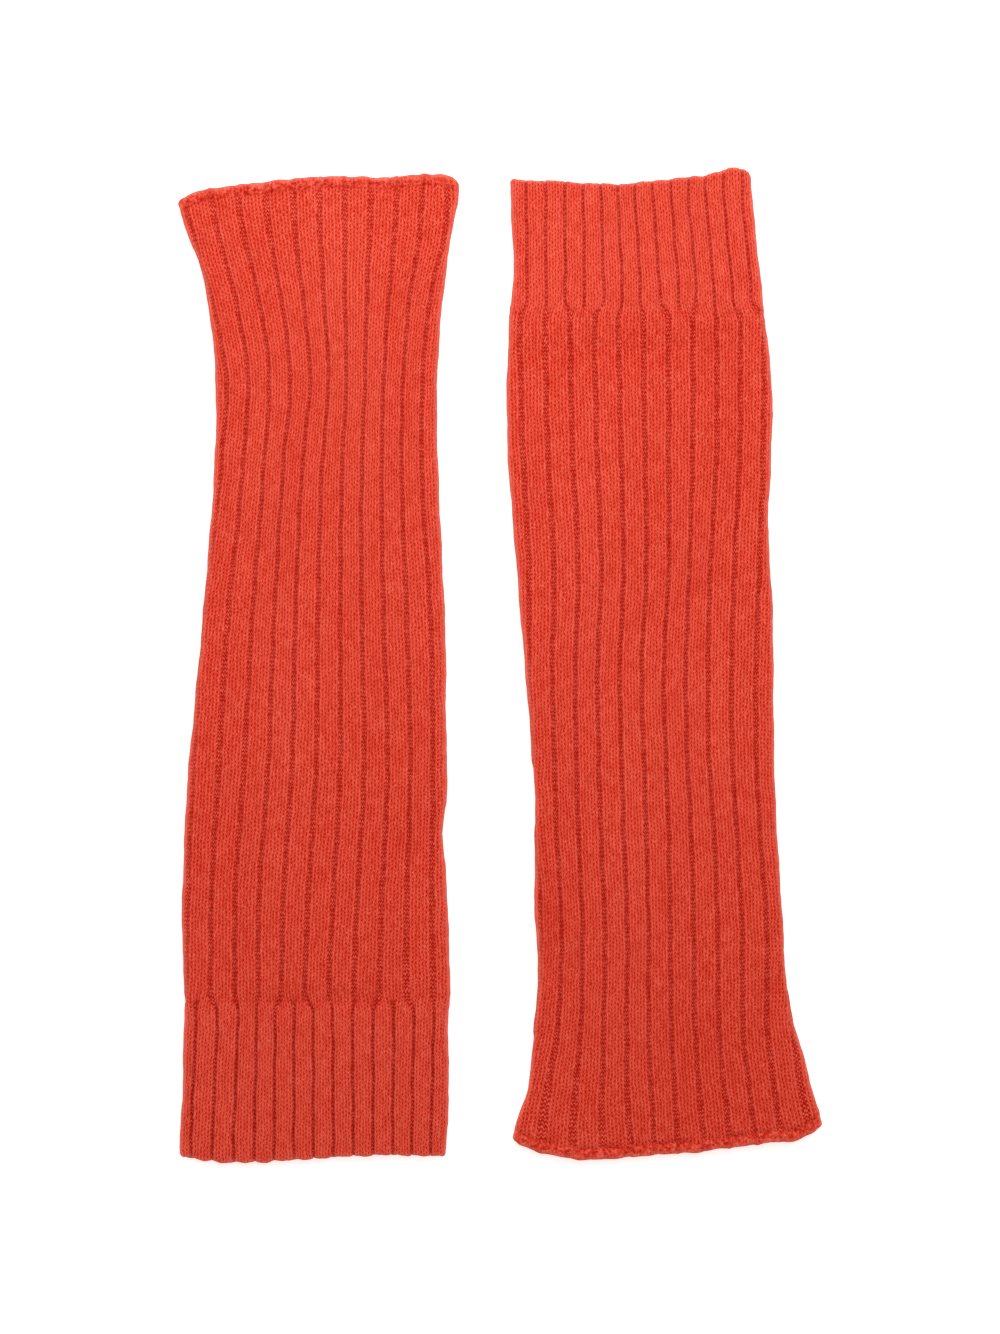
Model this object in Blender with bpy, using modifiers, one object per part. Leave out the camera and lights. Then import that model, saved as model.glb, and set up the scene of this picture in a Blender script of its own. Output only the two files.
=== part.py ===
"""Pair of ribbed-knit arm warmers, laid flat beside each other, head to tail.

Each warmer is one knitted tube with three stretches: a rolled welt at the flared end, a long
wide-rib sleeve and a narrow-rib wrist cuff. The tube lies flat, so every section is a flattened
oval: an upper and a lower panel that lie on each other, joined by a round fold at each side.
Metres, +Z up. The underside lies at z = 0, and the origin is under the middle of the pair.
Seen from above with +Y up, the left warmer's flared end is at the top, the right one's below.
"""

from collections import namedtuple

import bpy
import numpy as np

MM = 0.001

# The cloth
KNIT_WALL = 0.0026  # one layer of the rib
WELT_WALL = 0.0029  # one layer of the rolled welt
LAY_GAP = 0.0006  # between the upper and the lower panel
SEAM_GAP = 0.0004  # between two stretches of one warmer
WELT_DEPTH = 0.0046  # the welt, from its free edge to the sleeve

# The lofted grid
FLAT_STEPS = 11  # across a panel
FOLD_STEPS = 5  # round a side fold
SLEEVE_ROWS = 20
CUFF_ROWS = 6
WELT_ROWS = 3
ROW_CROWDING = 1.6  # over 1, rows lie closer towards the flared end
SQUARE_END = 0.0005  # at each end of a stretch, where its sides run straight

KNIT_COLOUR = (0.80, 0.085, 0.048, 1.0)
KNIT_ROUGHNESS = 0.92

# Where the two side folds lie at a height y up the pair, in millimetres
Side = namedtuple("Side", "y left right")
# A free edge: its y at a share of the width, from the left fold to the right one, in millimetres
Edge = namedtuple("Edge", "across y")
Warmer = namedtuple("Warmer", "name sides top_edge bottom_edge cuff_line flare_at_top")

LEFT_SIDES = (
    Side(y=200.0, left=-132.0, right=-15.8),
    Side(y=188.5, left=-131.2, right=-17.0),
    Side(y=183.0, left=-129.4, right=-18.4),
    Side(y=175.0, left=-126.6, right=-19.8),
    Side(y=167.0, left=-123.2, right=-20.9),
    Side(y=151.0, left=-119.2, right=-23.0),
    Side(y=126.5, left=-116.0, right=-25.0),
    Side(y=107.0, left=-115.2, right=-25.6),
    Side(y=76.5, left=-116.1, right=-24.9),
    Side(y=38.0, left=-119.1, right=-23.2),
    Side(y=11.0, left=-121.4, right=-22.0),
    Side(y=-24.5, left=-124.8, right=-21.9),
    Side(y=-50.0, left=-127.1, right=-21.4),
    Side(y=-69.0, left=-128.0, right=-23.2),
    Side(y=-86.0, left=-128.7, right=-21.8),
    Side(y=-106.5, left=-129.1, right=-20.9),
    Side(y=-134.0, left=-128.1, right=-20.3),
    Side(y=-145.0, left=-128.3, right=-20.9),
    Side(y=-171.0, left=-128.8, right=-20.5),
    Side(y=-201.0, left=-130.3, right=-21.9),
)
LEFT_TOP_EDGE = (
    Edge(across=0.00, y=188.7),
    Edge(across=0.06, y=192.4),
    Edge(across=0.16, y=194.4),
    Edge(across=0.40, y=197.7),
    Edge(across=0.53, y=198.9),
    Edge(across=0.72, y=198.5),
    Edge(across=0.89, y=199.7),
    Edge(across=0.96, y=199.3),
    Edge(across=1.00, y=196.5),
)
LEFT_BOTTOM_EDGE = (
    Edge(across=0.00, y=-199.3),
    Edge(across=0.14, y=-201.6),
    Edge(across=0.45, y=-200.8),
    Edge(across=0.57, y=-199.9),
    Edge(across=0.76, y=-199.0),
    Edge(across=1.00, y=-199.4),
)

RIGHT_SIDES = (
    Side(y=202.0, left=4.6, right=102.0),
    Side(y=183.0, left=4.6, right=103.4),
    Side(y=167.0, left=5.9, right=105.1),
    Side(y=143.0, left=4.3, right=107.7),
    Side(y=112.0, left=3.1, right=110.8),
    Side(y=80.0, left=3.8, right=110.2),
    Side(y=59.5, left=5.5, right=109.2),
    Side(y=23.5, left=8.4, right=111.0),
    Side(y=-22.0, left=12.2, right=111.5),
    Side(y=-51.0, left=14.1, right=112.1),
    Side(y=-100.5, left=14.5, right=114.9),
    Side(y=-132.5, left=15.6, right=117.3),
    Side(y=-144.5, left=14.1, right=119.5),
    Side(y=-159.0, left=13.2, right=123.6),
    Side(y=-175.0, left=10.8, right=127.9),
    Side(y=-185.5, left=6.9, right=131.0),
    Side(y=-195.0, left=5.0, right=132.0),
)
RIGHT_TOP_EDGE = (
    Edge(across=0.00, y=197.7),
    Edge(across=0.20, y=196.9),
    Edge(across=0.46, y=195.8),
    Edge(across=0.69, y=198.1),
    Edge(across=0.80, y=199.1),
    Edge(across=0.89, y=201.4),
    Edge(across=0.97, y=201.8),
    Edge(across=1.00, y=200.2),
)
RIGHT_BOTTOM_EDGE = (
    Edge(across=0.00, y=-193.6),
    Edge(across=0.05, y=-196.5),
    Edge(across=0.14, y=-199.3),
    Edge(across=0.25, y=-201.3),
    Edge(across=0.35, y=-200.1),
    Edge(across=0.48, y=-198.9),
    Edge(across=0.64, y=-197.3),
    Edge(across=0.80, y=-194.4),
    Edge(across=0.93, y=-192.4),
    Edge(across=1.00, y=-187.1),
)

WARMERS = (
    Warmer("left", LEFT_SIDES, LEFT_TOP_EDGE, LEFT_BOTTOM_EDGE, -0.1368, True),
    Warmer("right", RIGHT_SIDES, RIGHT_TOP_EDGE, RIGHT_BOTTOM_EDGE, 0.1440, False),
)


def clear_scene():
    for old in list(bpy.data.objects):
        bpy.data.objects.remove(old, do_unlink=True)


def new_collection(name):
    collection = bpy.data.collections.new(name)
    bpy.context.scene.collection.children.link(collection)
    return collection


def knit_material(name):
    material = bpy.data.materials.new(name)
    material.use_nodes = True
    finish = material.node_tree.nodes["Principled BSDF"]
    finish.inputs["Base Color"].default_value = KNIT_COLOUR
    finish.inputs["Roughness"].default_value = KNIT_ROUGHNESS
    finish.inputs["Metallic"].default_value = 0.0
    return material


def smooth_through(knots, values, at):
    """A cubic through the values at rising knots, with each knot's slope that of its neighbours."""
    knots = np.asarray(knots, float)
    values = np.asarray(values, float)
    slopes = np.gradient(values, knots)
    at = np.clip(at, knots[0], knots[-1])
    cell = np.clip(np.searchsorted(knots, at) - 1, 0, len(knots) - 2)
    span = knots[cell + 1] - knots[cell]
    t = (at - knots[cell]) / span
    start = values[cell] * (1 + 2 * t) + slopes[cell] * span * t
    end = values[cell + 1] * (3 - 2 * t) - slopes[cell + 1] * span * (1 - t)
    return start * (1 - t) ** 2 + end * t**2


def edge_line(edge, across):
    """The y of a free edge at shares of the width, in metres."""
    return MM * smooth_through([e.across for e in edge], [e.y for e in edge], across)


def side_lines(sides, y):
    """The x of the left and the right fold at heights y, in metres."""
    rising = sides[::-1]
    heights = [s.y * MM for s in rising]
    left = smooth_through(heights, [s.left * MM for s in rising], y)
    right = smooth_through(heights, [s.right * MM for s in rising], y)
    return left, right


def flat_tube_ring(half_height):
    """One turn round the flattened oval, as three arrays of a point each.

    The turn goes over the upper panel from left to right, round the right fold, back under the
    lower panel and round the left fold. Share is 0 at the inner end of the left fold and 1 at
    that of the right fold, out is how far a point stands outside them, and z is its height.
    """
    panel = np.linspace(0, 1, FLAT_STEPS + 1)
    turn = np.linspace(0, np.pi, FOLD_STEPS + 1)[1:-1]
    bulge = half_height * np.sin(turn)
    drop = half_height * (1 + np.cos(turn))
    flat = np.zeros_like(panel)
    share = np.concatenate([panel, np.ones_like(turn), panel[::-1], np.zeros_like(turn)])
    out = np.concatenate([flat, bulge, flat, -bulge])
    z = np.concatenate([flat + 2 * half_height, drop, flat, drop[::-1]])
    return share, out, z


def tube_points(warmer, wall, upper_line, lower_line, rows):
    """Rows of rings from the upper line down to the lower one, as an array (row, ring point, xyz).

    A row's y goes from one line to the other, and its width runs from the left fold's line to
    the right one's at that y. The folds' half circles end on those lines. A short straight row
    at each end keeps the cut square to the tube's length, inside as well as outside.
    """
    half_height = wall + LAY_GAP / 2
    share, out, z = flat_tube_ring(half_height)
    down = np.linspace(0, 1, rows)[:, None]
    if warmer.flare_at_top:
        down = down**ROW_CROWDING
    else:
        down = 1 - (1 - down) ** ROW_CROWDING
    upper, lower = upper_line(share), lower_line(share)
    y = (upper - SQUARE_END) * (1 - down) + (lower + SQUARE_END) * down
    left, right = side_lines(warmer.sides, y)
    inner_left = left + half_height
    inner_right = right - half_height
    x = inner_left + (inner_right - inner_left) * share + out
    points = np.stack([x, y, np.broadcast_to(z, x.shape)], axis=2)
    first, last = points[:1].copy(), points[-1:].copy()
    first[..., 1] = upper
    last[..., 1] = lower
    return np.concatenate([first, points, last])


def knit_tube(name, points, wall, collection):
    """An open tube of quads through the rows of rings, thickened inwards to the cloth's wall."""
    rows, ring = points.shape[:2]
    row, place = np.meshgrid(np.arange(rows - 1), np.arange(ring), indexing="ij")
    following = (place + 1) % ring
    quads = [
        row * ring + place,
        (row + 1) * ring + place,
        (row + 1) * ring + following,
        row * ring + following,
    ]
    faces = np.stack(quads, axis=2).reshape(-1, 4)
    mesh = bpy.data.meshes.new(name)
    mesh.from_pydata(points.reshape(-1, 3).tolist(), [], faces.tolist())
    mesh.shade_smooth()
    mesh.materials.append(knit_material(name + "_knit"))
    tube = bpy.data.objects.new(name, mesh)
    collection.objects.link(tube)
    cloth = tube.modifiers.new("cloth", "SOLIDIFY")
    cloth.thickness = wall
    cloth.offset = -1
    cloth.use_even_offset = True
    return tube


def warmer_lines(warmer):
    """The lines across a warmer where its stretches end, as functions of the share of the width.

    Down from the top they are the free edge, the two sides of each seam, and the other free edge.
    """

    def shifted(edge, by):
        return lambda across: edge_line(edge, across) + by

    def level(y):
        return lambda across: np.full_like(across, y)

    if warmer.flare_at_top:
        welt_seam = [shifted(warmer.top_edge, -WELT_DEPTH - gap) for gap in (0, SEAM_GAP)]
        cuff_seam = [level(warmer.cuff_line), level(warmer.cuff_line - SEAM_GAP)]
        seams = welt_seam + cuff_seam
    else:
        welt_seam = [shifted(warmer.bottom_edge, WELT_DEPTH + gap) for gap in (SEAM_GAP, 0)]
        cuff_seam = [level(warmer.cuff_line + SEAM_GAP), level(warmer.cuff_line)]
        seams = cuff_seam + welt_seam
    return [shifted(warmer.top_edge, 0)] + seams + [shifted(warmer.bottom_edge, 0)]


def build_warmer(warmer, collection):
    stretches = [
        ("welt", WELT_WALL, WELT_ROWS),
        ("sleeve", KNIT_WALL, SLEEVE_ROWS),
        ("cuff", KNIT_WALL, CUFF_ROWS),
    ]
    if not warmer.flare_at_top:
        stretches.reverse()
    lines = warmer_lines(warmer)
    for number, (kind, wall, rows) in enumerate(stretches):
        upper_line, lower_line = lines[2 * number : 2 * number + 2]
        points = tube_points(warmer, wall, upper_line, lower_line, rows)
        knit_tube(f"{warmer.name}_{kind}", points, wall, collection)


def build():
    clear_scene()
    collection = new_collection("arm_warmers")
    for warmer in WARMERS:
        build_warmer(warmer, collection)


build()
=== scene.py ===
"""A pair of ribbed-knit arm warmers, laid flat head to tail and seen from straight above.

Every stretch of cloth is one closed grid of quads round a flattened tube. The grid's columns run
along the knit: a column keeps its place among the wales from the welt to the cuff, so the
stretches of a warmer meet stitch for stitch. The grid's rows follow the courses.
Metres, +Z up, in the frame of the CAD model.
"""

from collections import namedtuple

import bpy
import numpy as np
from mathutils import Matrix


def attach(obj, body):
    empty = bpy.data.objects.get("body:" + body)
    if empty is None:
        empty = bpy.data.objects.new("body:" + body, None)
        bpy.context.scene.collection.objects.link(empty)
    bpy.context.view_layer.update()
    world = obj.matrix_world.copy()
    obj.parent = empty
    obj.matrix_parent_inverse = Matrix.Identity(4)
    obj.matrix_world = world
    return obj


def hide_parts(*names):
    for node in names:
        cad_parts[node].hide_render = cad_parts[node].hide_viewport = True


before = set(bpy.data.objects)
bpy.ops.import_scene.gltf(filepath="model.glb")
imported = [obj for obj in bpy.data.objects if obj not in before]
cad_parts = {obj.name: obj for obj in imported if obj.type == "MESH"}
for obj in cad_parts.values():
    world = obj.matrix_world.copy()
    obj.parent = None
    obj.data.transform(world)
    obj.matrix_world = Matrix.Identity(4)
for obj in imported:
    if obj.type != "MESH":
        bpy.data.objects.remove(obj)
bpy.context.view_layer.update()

MM = 0.001

# ---------------------------------------------------------------- the outlines, as in the CAD

KNIT_WALL = 0.0026  # one layer of the rib
LAY_GAP = 0.0006  # between the upper and the lower panel
WELT_DEPTH = 0.0046  # the welt, from its free edge to the sleeve
HALF_HEIGHT = KNIT_WALL + LAY_GAP / 2  # of the flattened tube

# Where the two side folds lie at a height y up the pair, in millimetres
Side = namedtuple("Side", "y left right")
# A free edge: its y at a share of the width, from the left fold to the right one, in millimetres
Edge = namedtuple("Edge", "across y")
# Where a panel's rib channels lie at a height y, in millimetres, from the left one to the right
# one: every second channel of the wide rib, or of the narrow rib
Channels = namedtuple("Channels", "y x")
# The wide rib's channels: how deep they lie, in millimetres, and how dark their painted shade
# is, each at the flared end and at the cuff, and how deep the narrow rib's slits are and how dark
# their painted shade is
Hollow = namedtuple(
    "Hollow", "depth_at_flare depth_at_cuff shade_at_flare shade_at_cuff slit_depth slit_shade"
)
# A soft ridge (rise over 0) or trough of the laid cloth, in millimetres: its middle, how far it
# reaches along itself and across, and how many degrees it leans off the line up the arm
Crease = namedtuple("Crease", "x y reach breadth lean rise")
# One warmer. cuff_line is the y where one rib turns into the other, to_cuff the way along y that
# leads to the cuff, and narrow_start the wale of the narrow rib's first channel. hidden holds the
# underside's creases
Warmer = namedtuple(
    "Warmer",
    "name sides flare_edge cuff_edge cuff_line to_cuff "
    "wide_rib narrow_rib narrow_start hollow creases hidden",
)

LEFT_SIDES = (
    Side(y=200.0, left=-132.0, right=-15.8),
    Side(y=188.5, left=-131.2, right=-17.0),
    Side(y=183.0, left=-129.4, right=-18.4),
    Side(y=175.0, left=-126.6, right=-19.8),
    Side(y=167.0, left=-123.2, right=-20.9),
    Side(y=151.0, left=-119.2, right=-23.0),
    Side(y=126.5, left=-116.0, right=-25.0),
    Side(y=107.0, left=-115.2, right=-25.6),
    Side(y=76.5, left=-116.1, right=-24.9),
    Side(y=38.0, left=-119.1, right=-23.2),
    Side(y=11.0, left=-121.4, right=-22.0),
    Side(y=-24.5, left=-124.8, right=-21.9),
    Side(y=-50.0, left=-127.1, right=-21.4),
    Side(y=-69.0, left=-128.0, right=-23.2),
    Side(y=-86.0, left=-128.7, right=-21.8),
    Side(y=-106.5, left=-129.1, right=-20.9),
    Side(y=-134.0, left=-128.1, right=-20.3),
    Side(y=-145.0, left=-128.3, right=-20.9),
    Side(y=-171.0, left=-128.8, right=-20.5),
    Side(y=-201.0, left=-130.3, right=-21.9),
)
LEFT_TOP_EDGE = (
    Edge(across=0.00, y=188.7),
    Edge(across=0.06, y=192.4),
    Edge(across=0.16, y=194.4),
    Edge(across=0.40, y=197.7),
    Edge(across=0.53, y=198.9),
    Edge(across=0.72, y=198.5),
    Edge(across=0.89, y=199.7),
    Edge(across=0.96, y=199.3),
    Edge(across=1.00, y=196.5),
)
LEFT_BOTTOM_EDGE = (
    Edge(across=0.00, y=-199.3),
    Edge(across=0.14, y=-201.6),
    Edge(across=0.45, y=-200.8),
    Edge(across=0.57, y=-199.9),
    Edge(across=0.76, y=-199.0),
    Edge(across=1.00, y=-199.4),
)
LEFT_WIDE_RIB = (
    Channels(y=194, x=(-129.1, -106.7, -84.0, -62.8, -41.8, -21.2)),
    Channels(y=181, x=(-126.3, -105.1, -83.4, -62.8, -42.2, -21.6)),
    Channels(y=148, x=(-116.9, -97.7, -79.8, -62.8, -45.1, -28.4)),
    Channels(y=119, x=(-111.2, -93.6, -76.9, -62.2, -46.9, -31.2)),
    Channels(y=81, x=(-113.2, -95.7, -80.2, -63.9, -47.9, -31.6)),
    Channels(y=17, x=(-120.6, -100.6, -83.0, -64.7, -47.1, -27.9)),
    Channels(y=-41, x=(-124.6, -103.8, -84.3, -64.7, -45.5, -27.1)),
    Channels(y=-96, x=(-126.7, -107.5, -87.9, -67.7, -47.9, -27.5)),
    Channels(y=-130, x=(-127.5, -107.5, -88.7, -69.4, -48.8, -26.9)),
)
LEFT_NARROW_RIB = (
    Channels(y=-146, x=(-123.4, -106.3, -91.2, -75.7, -59.8, -43.0, -26.7)),
    Channels(y=-192, x=(-125.5, -108.1, -91.6, -75.7, -59.4, -43.5, -27.9)),
)

RIGHT_SIDES = (
    Side(y=202.0, left=4.6, right=102.0),
    Side(y=183.0, left=4.6, right=103.4),
    Side(y=167.0, left=5.9, right=105.1),
    Side(y=143.0, left=4.3, right=107.7),
    Side(y=112.0, left=3.1, right=110.8),
    Side(y=80.0, left=3.8, right=110.2),
    Side(y=59.5, left=5.5, right=109.2),
    Side(y=23.5, left=8.4, right=111.0),
    Side(y=-22.0, left=12.2, right=111.5),
    Side(y=-51.0, left=14.1, right=112.1),
    Side(y=-100.5, left=14.5, right=114.9),
    Side(y=-132.5, left=15.6, right=117.3),
    Side(y=-144.5, left=14.1, right=119.5),
    Side(y=-159.0, left=13.2, right=123.6),
    Side(y=-175.0, left=10.8, right=127.9),
    Side(y=-185.5, left=6.9, right=131.0),
    Side(y=-195.0, left=5.0, right=132.0),
)
RIGHT_TOP_EDGE = (
    Edge(across=0.00, y=197.7),
    Edge(across=0.20, y=196.9),
    Edge(across=0.46, y=195.8),
    Edge(across=0.69, y=198.1),
    Edge(across=0.80, y=199.1),
    Edge(across=0.89, y=201.4),
    Edge(across=0.97, y=201.8),
    Edge(across=1.00, y=200.2),
)
RIGHT_BOTTOM_EDGE = (
    Edge(across=0.00, y=-193.6),
    Edge(across=0.05, y=-196.5),
    Edge(across=0.14, y=-199.3),
    Edge(across=0.25, y=-201.3),
    Edge(across=0.35, y=-200.1),
    Edge(across=0.48, y=-198.9),
    Edge(across=0.64, y=-197.3),
    Edge(across=0.80, y=-194.4),
    Edge(across=0.93, y=-192.4),
    Edge(across=1.00, y=-187.1),
)
RIGHT_WIDE_RIB = (
    Channels(y=133, x=(8.2, 28.8, 48.3, 68.7, 88.3, 107.5)),
    Channels(y=89, x=(9.4, 29.6, 49.4, 68.7, 88.3, 107.1)),
    Channels(y=36, x=(12.0, 32.0, 50.4, 68.7, 85.5, 105.5)),
    Channels(y=-2, x=(12.0, 30.8, 48.8, 66.7, 84.7, 104.2)),
    Channels(y=-39, x=(13.7, 31.2, 49.6, 67.7, 85.1, 104.4)),
    Channels(y=-68, x=(14.5, 32.0, 50.4, 68.7, 87.1, 105.9)),
    Channels(y=-109, x=(16.9, 33.7, 52.0, 69.4, 88.7, 108.7)),
    Channels(y=-151, x=(13.7, 32.8, 51.6, 70.0, 89.4, 109.1)),
    Channels(y=-187, x=(5.1, 30.0, 52.8, 72.0, 93.0, 113.8)),
    Channels(y=-198, x=(3.1, 30.0, 53.9, 72.6, 94.2, 115.5)),
)
RIGHT_NARROW_RIB = (
    Channels(y=192, x=(10.8, 26.5, 41.2, 54.9, 69.6, 83.6, 98.5)),
    Channels(y=154, x=(11.2, 26.7, 42.4, 57.3, 72.8, 87.1, 102.2)),
)

LEFT_CREASES = (
    Crease(x=-96, y=92, reach=46, breadth=9, lean=8, rise=0.9),
    Crease(x=-58, y=108, reach=60, breadth=12, lean=-4, rise=0.7),
    Crease(x=-38, y=30, reach=38, breadth=8, lean=-7, rise=0.6),
    Crease(x=-84, y=-20, reach=70, breadth=14, lean=3, rise=0.8),
    Crease(x=-110, y=-72, reach=30, breadth=8, lean=-12, rise=-0.7),
    Crease(x=-34, y=-70, reach=24, breadth=9, lean=62, rise=-0.8),
    Crease(x=-72, y=-137, reach=44, breadth=5, lean=88, rise=-0.7),
    Crease(x=-66, y=170, reach=36, breadth=15, lean=-10, rise=0.9),
)
RIGHT_CREASES = (
    Crease(x=20, y=-105, reach=30, breadth=5, lean=-3, rise=-1.1),
    Crease(x=54, y=-60, reach=66, breadth=13, lean=4, rise=0.8),
    Crease(x=88, y=-20, reach=44, breadth=10, lean=-6, rise=0.7),
    Crease(x=36, y=44, reach=50, breadth=9, lean=5, rise=0.8),
    Crease(x=94, y=86, reach=34, breadth=9, lean=9, rise=-0.6),
    Crease(x=50, y=128, reach=48, breadth=9, lean=88, rise=-1.2),
    Crease(x=80, y=-162, reach=34, breadth=19, lean=-14, rise=-0.8),
    Crease(x=110, y=-142, reach=22, breadth=7, lean=24, rise=-0.8),
)
LEFT_HIDDEN_CREASES = (
    Crease(x=-92, y=60, reach=52, breadth=5, lean=6, rise=-0.9),
    Crease(x=-50, y=-30, reach=36, breadth=4, lean=-9, rise=-0.7),
    Crease(x=-80, y=-128, reach=40, breadth=4, lean=80, rise=-0.8),
)
RIGHT_HIDDEN_CREASES = (
    Crease(x=44, y=20, reach=46, breadth=5, lean=-5, rise=-0.9),
    Crease(x=88, y=-70, reach=34, breadth=4, lean=11, rise=-0.7),
    Crease(x=60, y=136, reach=38, breadth=4, lean=84, rise=-0.8),
)

WARMERS = (
    Warmer(
        name="left",
        sides=LEFT_SIDES,
        flare_edge=LEFT_TOP_EDGE,
        cuff_edge=LEFT_BOTTOM_EDGE,
        cuff_line=-0.1368,
        to_cuff=-1,
        wide_rib=LEFT_WIDE_RIB,
        narrow_rib=LEFT_NARROW_RIB,
        narrow_start=2.5,
        hollow=Hollow(
            depth_at_flare=0.60,
            depth_at_cuff=0.80,
            shade_at_flare=0.40,
            shade_at_cuff=0.56,
            slit_depth=1.0,
            slit_shade=1.0,
        ),
        creases=LEFT_CREASES,
        hidden=LEFT_HIDDEN_CREASES,
    ),
    Warmer(
        name="right",
        sides=RIGHT_SIDES,
        flare_edge=RIGHT_BOTTOM_EDGE,
        cuff_edge=RIGHT_TOP_EDGE,
        cuff_line=0.1440,
        to_cuff=1,
        wide_rib=RIGHT_WIDE_RIB,
        narrow_rib=RIGHT_NARROW_RIB,
        narrow_start=0.5,
        hollow=Hollow(
            depth_at_flare=0.70,
            depth_at_cuff=0.70,
            shade_at_flare=0.64,
            shade_at_cuff=0.58,
            slit_depth=0.75,
            slit_shade=0.62,
        ),
        creases=RIGHT_CREASES,
        hidden=RIGHT_HIDDEN_CREASES,
    ),
)

# ---------------------------------------------------------------- the knit

WALES = 110  # round the tube
FIRST_WALE = -25  # the grid's first column; wale 0 is the upper panel's first channel
COLUMNS_PER_WALE = 6
WIDE_RIB = 5  # wales: three knit, two purl
NARROW_RIB = 4  # wales: three knit, one purl
WIDE_PURL_HALF = 1.0  # wales from a channel's middle to the knit
NARROW_PURL_HALF = 0.5
COURSE = 0.00167  # one row of stitches

# A wide rib that is CLOSED_RIB wide has its three knit wales in CLOSED_KNIT, and they take
# KNIT_STRETCH of any further width. The purl shares are of a rib's width, at each of its sides
CLOSED_RIB = 0.0094
CLOSED_KNIT = 0.0080
KNIT_STRETCH = 0.42
WIDE_PURL_SHARES = (0.085, 0.2)  # the least and the most
NARROW_PURL_SHARE = 0.055

CROWN = 0.00030  # how far a rib's middle stands over the tube's section
WALE_RELIEF = 0.00011  # how far a stitch's leg stands up
SEAM_DIP = 0.0007  # how deep the line between the welt and the sleeve is
BEAD_RISE = 0.0005  # how far the rolled welt stands up
WELT_LOOP = 0.0024  # the way along the arm in which the welt's loops lean over by one wale

# From where to where the knit changes over. The first four are distances past the cuff line
WALES_SHIFT = (-0.0050, 0.0050)  # from the wide rib's places to the narrow rib's
CHANNEL_LEAN = (-0.0035, 0.0045)  # a channel runs over to its slit
WIDE_RIB_ENDS = (-0.0022, 0.0022)
NARROW_RIB_STARTS = (-0.0016, 0.0020)
RIB_STARTS = (WELT_DEPTH - 0.0008, WELT_DEPTH + 0.0016)  # from the flared end's free edge
NEAR_CUFF = (0.35, 0.9)  # of the warmer's length
STRETCHED_RIB = (0.0086, 0.0118)  # a rib's width, from closed channels to wide open ones

# Small waves along the arm: height, radians per metre and phase
LEFT_FOLD_WAVES = ((0.00016, 210, 0.0), (0.00008, 1490, 1.0))
RIGHT_FOLD_WAVES = ((0.00015, 240, 2.0), (0.00008, 1310, 0.0))
CHANNEL_WAVES = ((0.00011, 331, 2.1), (0.00012, 187, 4.4))  # the phase added at each channel
SCALLOP = 0.0007  # from a rib's middle to a slit, at the cuff's end


def smooth_through(knots, values, at):
    """A cubic through the values at rising knots, with each knot's slope that of its neighbours."""
    knots = np.asarray(knots, float)
    values = np.asarray(values, float)
    slopes = np.gradient(values, knots)
    at = np.clip(at, knots[0], knots[-1])
    cell = np.clip(np.searchsorted(knots, at) - 1, 0, len(knots) - 2)
    span = knots[cell + 1] - knots[cell]
    t = (at - knots[cell]) / span
    start = values[cell] * (1 + 2 * t) + slopes[cell] * span * t
    end = values[cell + 1] * (3 - 2 * t) - slopes[cell + 1] * span * (1 - t)
    return start * (1 - t) ** 2 + end * t**2


def ease(low, high, at):
    """0 below low, 1 above high, and 3t squared less 2t cubed between."""
    t = np.clip((at - low) / (high - low), 0, 1)
    return t * t * (3 - 2 * t)


def bell(at, middle, breadth):
    """1 at the middle, falling off to both sides as the exponential of minus the square."""
    return np.exp(-(((at - middle) / breadth) ** 2))


def beat(turn, quick, slow):
    """The product of two sines round the tube, each given by its count and its phase."""
    return np.sin(turn * quick[0] + quick[1]) * np.sin(turn * slow[0] + slow[1])


def waved(x, y, waves, nth=1):
    """x with waves along y added, each phase taken nth times."""
    for height, pace, phase in waves:
        x = x + height * np.sin(y * pace + phase * nth)
    return x


def edge_line(edge, across):
    """The y of a free edge at shares of the width."""
    return MM * smooth_through([e.across for e in edge], [e.y for e in edge], across)


def side_lines(sides, y):
    """The x of the left and the right fold at heights y, with the small waves of a soft edge."""
    rising = sides[::-1]
    heights = [s.y * MM for s in rising]
    left = smooth_through(heights, [s.left * MM for s in rising], y)
    right = smooth_through(heights, [s.right * MM for s in rising], y)
    return waved(left, y, LEFT_FOLD_WAVES), waved(right, y, RIGHT_FOLD_WAVES)


def fold_arc(reach):
    """The way along the section from a side fold's outermost point to where x has gone in by reach.

    It is the arc of a quarter circle, and then straight on.
    """
    turned = HALF_HEIGHT * np.arccos(1 - np.clip(reach / HALF_HEIGHT, 0, 1))
    return turned + np.minimum(reach, 0) + np.maximum(reach - HALF_HEIGHT, 0)


def panel_arc(left, right):
    """The way over one panel, from fold to fold."""
    return right - left + (np.pi - 2) * HALF_HEIGHT


def arc_at(x, left, right):
    """The way round the section from the left fold to a place x on the upper panel."""
    middle = (left + right) / 2
    return np.where(
        x < middle,
        fold_arc(x - left),
        panel_arc(left, right) - fold_arc(right - x),
    )


def section(arc, left, right):
    """The flattened oval at a way round it: x, z and the outward normal's x and z.

    A quarter circle at each fold, straight between, and the lower panel mirrors the upper one.
    """
    panel = panel_arc(left, right)
    turn = np.mod(arc, 2 * panel)
    below = turn > panel
    turn = np.where(below, 2 * panel - turn, turn)
    on_left = turn < panel / 2
    reach = np.where(on_left, turn, panel - turn)
    angle = np.minimum(reach / HALF_HEIGHT, np.pi / 2)
    inwards = HALF_HEIGHT * (1 - np.cos(angle)) + np.maximum(reach - HALF_HEIGHT * np.pi / 2, 0)
    x = np.where(on_left, left + inwards, right - inwards)
    rise = np.sin(angle)
    upward = np.where(below, -rise, rise)
    outward = np.where(on_left, -np.cos(angle), np.cos(angle))
    return x, HALF_HEIGHT * (1 + upward), outward, upward


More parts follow.
